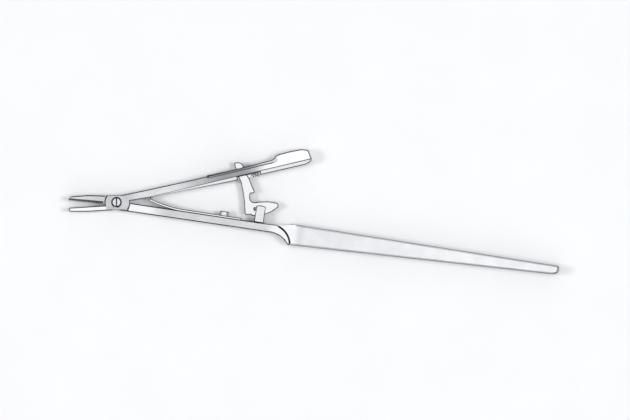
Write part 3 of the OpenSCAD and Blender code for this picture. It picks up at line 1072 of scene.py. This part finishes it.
@dataclass
class LeafSpring:
    """The curved strip between the arms and the screw that holds it. Its sizes are millimetres and degrees.

    Attributes:
        mid: Z of the middle of the thickness.
        arm_heading: Heading of the arm that it lies on.
        lift: Where the strip leaves the arm, along and across it.
        tip: Where it bears on the lever.
        bedding: How far its under side goes down into the arm.
        under_facing: Part of a normal across the arm under which a face is the under side.
        strip_width: Width of the rounding of the strip's edges.
        strip_level: Their least distance from the middle.
        square_angle: The least angle of such an edge.
        screw_at: Place of the screw, along the arm.
        slot_turn: Angle that sets the screw's slot along the arm.
        head_top: Height of the head's top, across the arm.
        rim_width: Width of the rounding of the head's rim.
        rim_radius: The least distance of the rim from the axis.
        rim_depth: How far under the top the rim's edges may lie.
        flank_depth: How far under the top the painted shade on the head's side reaches.
        flank_facing: The least part along the arm of that side's normals.
        slot_depth: Depths under the top between which the slot's faces lie.
        slot_half: Half the slot's width, with a little to spare.
    """

    shop: Workshop
    mid: float = 2.3
    arm_heading: float = -8.6
    lift: tuple[float, float] = (19.0, 0.34)
    tip: tuple[float, float] = (9.0, 1.7)
    bedding: float = 0.25
    under_facing: float = -0.8
    strip_width: float = 0.19
    strip_level: float = 1.3
    square_angle: float = 60.0
    screw_at: float = 29.22
    slot_turn: float = 90.0
    head_top: float = 1.94
    rim_width: float = 0.2
    rim_radius: float = 1.0
    rim_depth: float = 0.03
    flank_depth: float = 1.2
    flank_facing: float = 0.93
    slot_depth: tuple[float, float] = (0.02, 0.45)
    slot_half: float = 0.17

    def build(self) -> None:
        """Copies the strip and its screw."""
        strip = self.shop.copy_of("leaf_spring", "leaf_strip", SPRING_FINISH)
        self._thicken(strip)
        # The strip's edge roundings take painted shade.
        self.shop.round_edges(strip, self.strip_width, self._is_strip_edge)
        self.shop.shade(strip)
        self.shop.hand_over(strip, Stock.SPRING, None, "leaf_spring")
        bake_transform(strip)
        screw = self.shop.copy_of("leaf_screw", "strip_screw", HEAD_FINISH)
        self._turn(screw)
        # The head's rim rounding, its slot and its sides towards the arm's ends take painted shade.
        self.shop.round_edges(screw, self.rim_width, self._is_head_rim)
        self.shop.paint_shade(screw, self._in_slot)
        self.shop.paint_shade(screw, self._is_flank)
        self.shop.shade(screw)
        self.shop.hand_over(screw, Stock.BRIGHT, Body.HANDLE, "leaf_screw")

    def _thicken(self, strip: bpy.types.Object) -> None:
        """Lets the strip's under side down into the arm, so that its seat shows no gap.

        Args:
            strip: The strip.
        """
        self.shop.choose(strip)
        bpy.ops.object.mode_set(mode="EDIT")
        bpy.ops.mesh.select_mode(type="FACE")
        form = bmesh.from_edit_mesh(strip.data)
        for face in form.faces:
            _, across = beside(face.normal, self.arm_heading)
            face.select_set(across < self.under_facing)
        bmesh.update_edit_mesh(strip.data)
        bpy.ops.transform.shrink_fatten(value=self.bedding * MM, use_even_offset=True)
        bpy.ops.mesh.select_all(action="DESELECT")
        bpy.ops.object.mode_set(mode="OBJECT")

    def _turn(self, screw: bpy.types.Object) -> None:
        """Turns the screw about its own axis, so that its slot runs along the arm.

        Args:
            screw: The screw.
        """
        base = polar(self.screw_at, 0.0, self.arm_heading)
        base.z = self.mid
        axis = polar(0.0, 1.0, self.arm_heading)
        there = Matrix.Translation(base * MM)
        turn = Matrix.Rotation(math.radians(self.slot_turn), 4, axis)
        screw.data.transform(there @ turn @ there.inverted())

    def _is_strip_edge(self, edge: Edge) -> bool:
        """Whether an edge is one of the strip's long or end edges."""
        at_side = abs(edge.middle.z - self.mid) > self.strip_level
        return at_side and edge.angle > self.square_angle and edge.is_level()

    def _is_flank(self, middle: Vector, normal: Vector) -> bool:
        """Whether a face is on the head's side, towards the arm's two ends, where shade is painted."""
        facing = abs(beside(normal, self.arm_heading)[0])
        return facing > self.flank_facing and beside(middle, self.arm_heading)[1] > self.head_top - self.flank_depth

    def _is_head_rim(self, edge: Edge) -> bool:
        """Whether an edge is part of the head's upper rim."""
        u, v = beside(edge.middle, self.arm_heading)
        far = math.hypot(u - self.screw_at, edge.middle.z - self.mid) > self.rim_radius
        return v > self.head_top - self.rim_depth and far

    def _in_slot(self, middle: Vector, normal: Vector) -> bool:
        """Whether a face is a wall or the floor of the slot."""
        depth = self.head_top - beside(middle, self.arm_heading)[1]
        return self.slot_depth[0] < depth < self.slot_depth[1] and abs(middle.z - self.mid) < self.slot_half


@dataclass
class Latch:
    """The swinging latch, its pin and coil, and the keeper that it locks in. Its sizes are millimetres and degrees.

    Attributes:
        mid: Z of the middle of the thickness.
        pin_at: X and Y of the latch's pin.
        pin_reach: Distance from its middle within which nothing is rounded.
        keeper_at: X and Y of the keeper's way in the latch's hook.
        way_half: Half the way's width.
        way_depth: How far the way reaches towards -Y.
        way_height: How far it reaches towards +Y.
        outline_width: Width of the rounding of the latch's outline.
        outline_angle: The least angle of its edges.
        shortest: Their least length.
        post_width: Width of the rounding of the keeper's posts.
        post_angle: The least angle of a post's edges.
        post_level: Their least distance from the middle.
        lever_heading: Heading of the lever.
        coil_start: Where the coil starts, along the lever.
        coil_v: Place of its axis, across the lever.
        coil_length: Length of the coil.
        coil_radius: Radius of its middle line.
        wire_radius: Radius of its wire.
        wire_sides: Sides of the wire.
        turns: Turns of the coil.
        turn_steps: Steps in a turn.
        coil_merge: Distance within which its points are merged.
        coil_smooth: Angle below which its edges are smooth.
    """

    shop: Workshop
    mid: float = 2.3
    pin_at: tuple[float, float] = (33.714, 8.008)
    pin_reach: float = 0.62
    keeper_at: tuple[float, float] = (38.8, -1.24)
    way_half: float = 1.3
    way_depth: float = 2.1
    way_height: float = 0.8
    outline_width: float = 0.24
    outline_angle: float = 60.0
    shortest: float = 0.05
    post_width: float = 0.2
    post_angle: float = 30.0
    post_level: float = 1.5
    lever_heading: float = 12.7
    coil_start: float = 37.11
    coil_v: float = -1.1
    coil_length: float = 2.28
    coil_radius: float = 0.49
    wire_radius: float = 0.11
    wire_sides: int = 12
    turns: int = 4
    turn_steps: int = 28
    coil_merge: float = 0.001
    coil_smooth: float = 60.0

    def build(self) -> None:
        """Builds the latch's pieces."""
        plate = self.shop.copy_of("latch", "latch_plate", LATCH_FINISH)
        # The latch's outline rounding takes painted shade.
        self.shop.round_edges(plate, self.outline_width, self._is_latch_outline)
        self.shop.shade(plate)
        self.shop.hand_over(plate, Stock.BRIGHT, Body.LATCH, "latch")
        for node, name, finish, body in (("latch_pin", "latch_rivet", LEVER_FINISH, Body.LEVER),
                                         ("keeper_pin", "keeper_rivet", HANDLE_FINISH, Body.HANDLE)):
            pin = self.shop.copy_of(node, name, finish)
            self.shop.shade(pin)
            self.shop.hand_over(pin, Stock.BRIGHT, body, node)
        posts = self.shop.copy_of("keeper_cheeks", "keeper_posts", KEEPER_FINISH)
        # The posts' outline rounding takes painted shade.
        self.shop.round_edges(posts, self.post_width, self._is_post_outline)
        self.shop.shade(posts)
        self.shop.hand_over(posts, Stock.SATIN, Body.HANDLE, "keeper_cheeks")
        self._coil()

    def _is_outside(self, edge: Edge) -> bool:
        """Whether an edge lies away from the pin's hole and the keeper's way.

        Args:
            edge: The edge.

        Returns:
            Whether it is clear of both.
        """
        low, high = self.keeper_at[1] - self.way_depth, self.keeper_at[1] + self.way_height
        by_way = abs(edge.middle.x - self.keeper_at[0]) < self.way_half and low < edge.middle.y < high
        return not by_way and not edge.is_by(self.pin_at, self.pin_reach)

    def _is_latch_outline(self, edge: Edge) -> bool:
        """Whether an edge is part of the latch's outline, away from its pin hole and the keeper's way."""
        is_long = edge.length > self.shortest
        return is_long and edge.angle > self.outline_angle and edge.is_level() and self._is_outside(edge)

    def _is_post_outline(self, edge: Edge) -> bool:
        """Whether an edge is part of a post's outer outline."""
        outer = abs(edge.middle.z - self.mid) > self.post_level
        return outer and edge.angle > self.post_angle and edge.is_level()

    def _coil(self) -> None:
        """Winds the round wire of the latch's spring."""
        self.shop.deselect()
        bpy.ops.mesh.primitive_circle_add(
            vertices=self.wire_sides, radius=self.wire_radius * MM, location=(self.coil_radius * MM, 0.0, 0.0),
            rotation=(math.radians(90.0), 0.0, 0.0))
        coil = bpy.context.active_object
        coil.name = "latch_coil"
        bpy.ops.object.transform_apply(location=True, rotation=True, scale=True)
        winding = coil.modifiers.new("winding", "SCREW")
        winding.angle = math.tau
        winding.screw_offset = (self.coil_length - 2 * self.wire_radius) / self.turns * MM
        winding.iterations = self.turns
        winding.steps = winding.render_steps = self.turn_steps
        bpy.ops.object.modifier_apply(modifier=winding.name)
        bpy.ops.object.mode_set(mode="EDIT")
        bpy.ops.mesh.select_all(action="SELECT")
        bpy.ops.mesh.remove_doubles(threshold=self.coil_merge * MM)
        bpy.ops.mesh.select_all(action="DESELECT")
        bpy.ops.mesh.select_mode(type="EDGE")
        bpy.ops.mesh.select_non_manifold()
        bpy.ops.mesh.edge_face_add()
        bpy.ops.mesh.select_all(action="SELECT")
        bpy.ops.mesh.normals_make_consistent(inside=False)
        bpy.ops.object.mode_set(mode="OBJECT")
        turn = math.radians(self.lever_heading)
        place = polar(self.coil_start + self.wire_radius, self.coil_v, self.lever_heading) * MM
        place.z = self.mid * MM
        coil.matrix_world = (Matrix.Translation(place) @ Matrix.Rotation(turn, 4, "Z")
                             @ Matrix.Rotation(math.radians(90.0), 4, "Y"))
        bpy.ops.object.transform_apply(location=True, rotation=True, scale=True)
        self.shop.dress(coil, WIRE_FINISH)
        self.shop.shade(coil, self.coil_smooth)
        self.shop.hand_over(coil, Stock.SPRING, Body.LEVER, "latch_spring")


@dataclass(frozen=True)
class Lamp:
    """A square soft lamp, with its place and side in metres and its power in watts."""

    name: str
    place: tuple[float, float, float]
    size: float
    power: float


@dataclass
class Studio:
    """The pale table, the lamps and the camera. Its sizes are metres.

    Attributes:
        frame_width: Width of the picture.
        look_at: X and Y of the picture's middle.
        camera_height: Height of the camera.
        clips: The nearest and the farthest that it sees.
        table_size: Side of the table.
        sky_tone: Colour of the room.
        sky_strength: Its strength.
        aim: The point that every lamp faces.
        lamps: The lamps.
    """

    shop: Workshop
    frame_width: float = 0.1701
    look_at: tuple[float, float] = (0.0536, -0.0021)
    camera_height: float = 0.4
    clips: tuple[float, float] = (0.01, 10.0)
    table_size: float = 3.0
    sky_tone: tuple[float, float, float] = (0.9, 0.92, 0.95)
    sky_strength: float = 0.48
    aim: tuple[float, float, float] = (0.05, 0.0, 0.0)
    lamps: tuple[Lamp, ...] = (
        Lamp("overhead", (0.05, 0.0, 0.60), 0.5, 0.36),
        Lamp("left", (-0.45, 0.0, 0.60), 0.2, 1.75),
        Lamp("right", (0.35, 0.0, 0.60), 0.18, 1.45),
        Lamp("front", (0.05, -0.50, 0.42), 0.45, 0.35),
        Lamp("back", (0.05, 0.55, 0.30), 0.45, 0.25),
    )

    def build(self) -> None:
        """Builds the table, lamps, sky and camera."""
        self._table()
        for lamp in self.lamps:
            self._lamp(lamp)
        self._sky()
        self._camera()

    def _table(self) -> None:
        """Adds the table top under the part."""
        self.shop.deselect()
        bpy.ops.mesh.primitive_plane_add(size=self.table_size, location=(0.0, 0.0, 0.0))
        table = bpy.context.active_object
        table.name = "table_top"
        table.data.materials.append(TableFinish().material())

    def _lamp(self, lamp: Lamp) -> None:
        """Hangs a lamp that faces the instrument.

        Args:
            lamp: The lamp.
        """
        light = bpy.data.lights.new(lamp.name, "AREA")
        light.size = lamp.size
        light.energy = lamp.power
        hung = bpy.data.objects.new(lamp.name, light)
        hung.location = lamp.place
        hung.rotation_euler = (Vector(self.aim) - Vector(lamp.place)).to_track_quat("-Z", "Y").to_euler()
        bpy.context.scene.collection.objects.link(hung)

    def _sky(self) -> None:
        """Fills the room with a dim even grey."""
        world = bpy.data.worlds.new("room")
        world.use_nodes = True
        background = world.node_tree.nodes["Background"]
        background.inputs["Color"].default_value = (*self.sky_tone, 1.0)
        background.inputs["Strength"].default_value = self.sky_strength
        bpy.context.scene.world = world

    def _camera(self) -> None:
        """Adds the camera, which looks straight down as the drawing does."""
        lens = bpy.data.cameras.new("drawing_view")
        lens.type = "ORTHO"
        lens.ortho_scale = self.frame_width
        lens.clip_start, lens.clip_end = self.clips
        camera = bpy.data.objects.new("drawing_view", lens)
        camera.location = (*self.look_at, self.camera_height)
        bpy.context.scene.collection.objects.link(camera)
        bpy.context.scene.camera = camera


def main() -> None:
    """Builds the instrument's sub-assemblies and the studio."""
    logging.basicConfig(level=logging.INFO, format="%(name)s %(message)s")
    shop = Workshop()
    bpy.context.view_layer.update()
    for assembly in (Handle(shop), ThumbLever(shop), Joint(shop), LeafSpring(shop), Latch(shop), Studio(shop)):
        assembly.build()
    bpy.context.scene.view_settings.view_transform = "Standard"


if __name__ == "__main__":
    main()
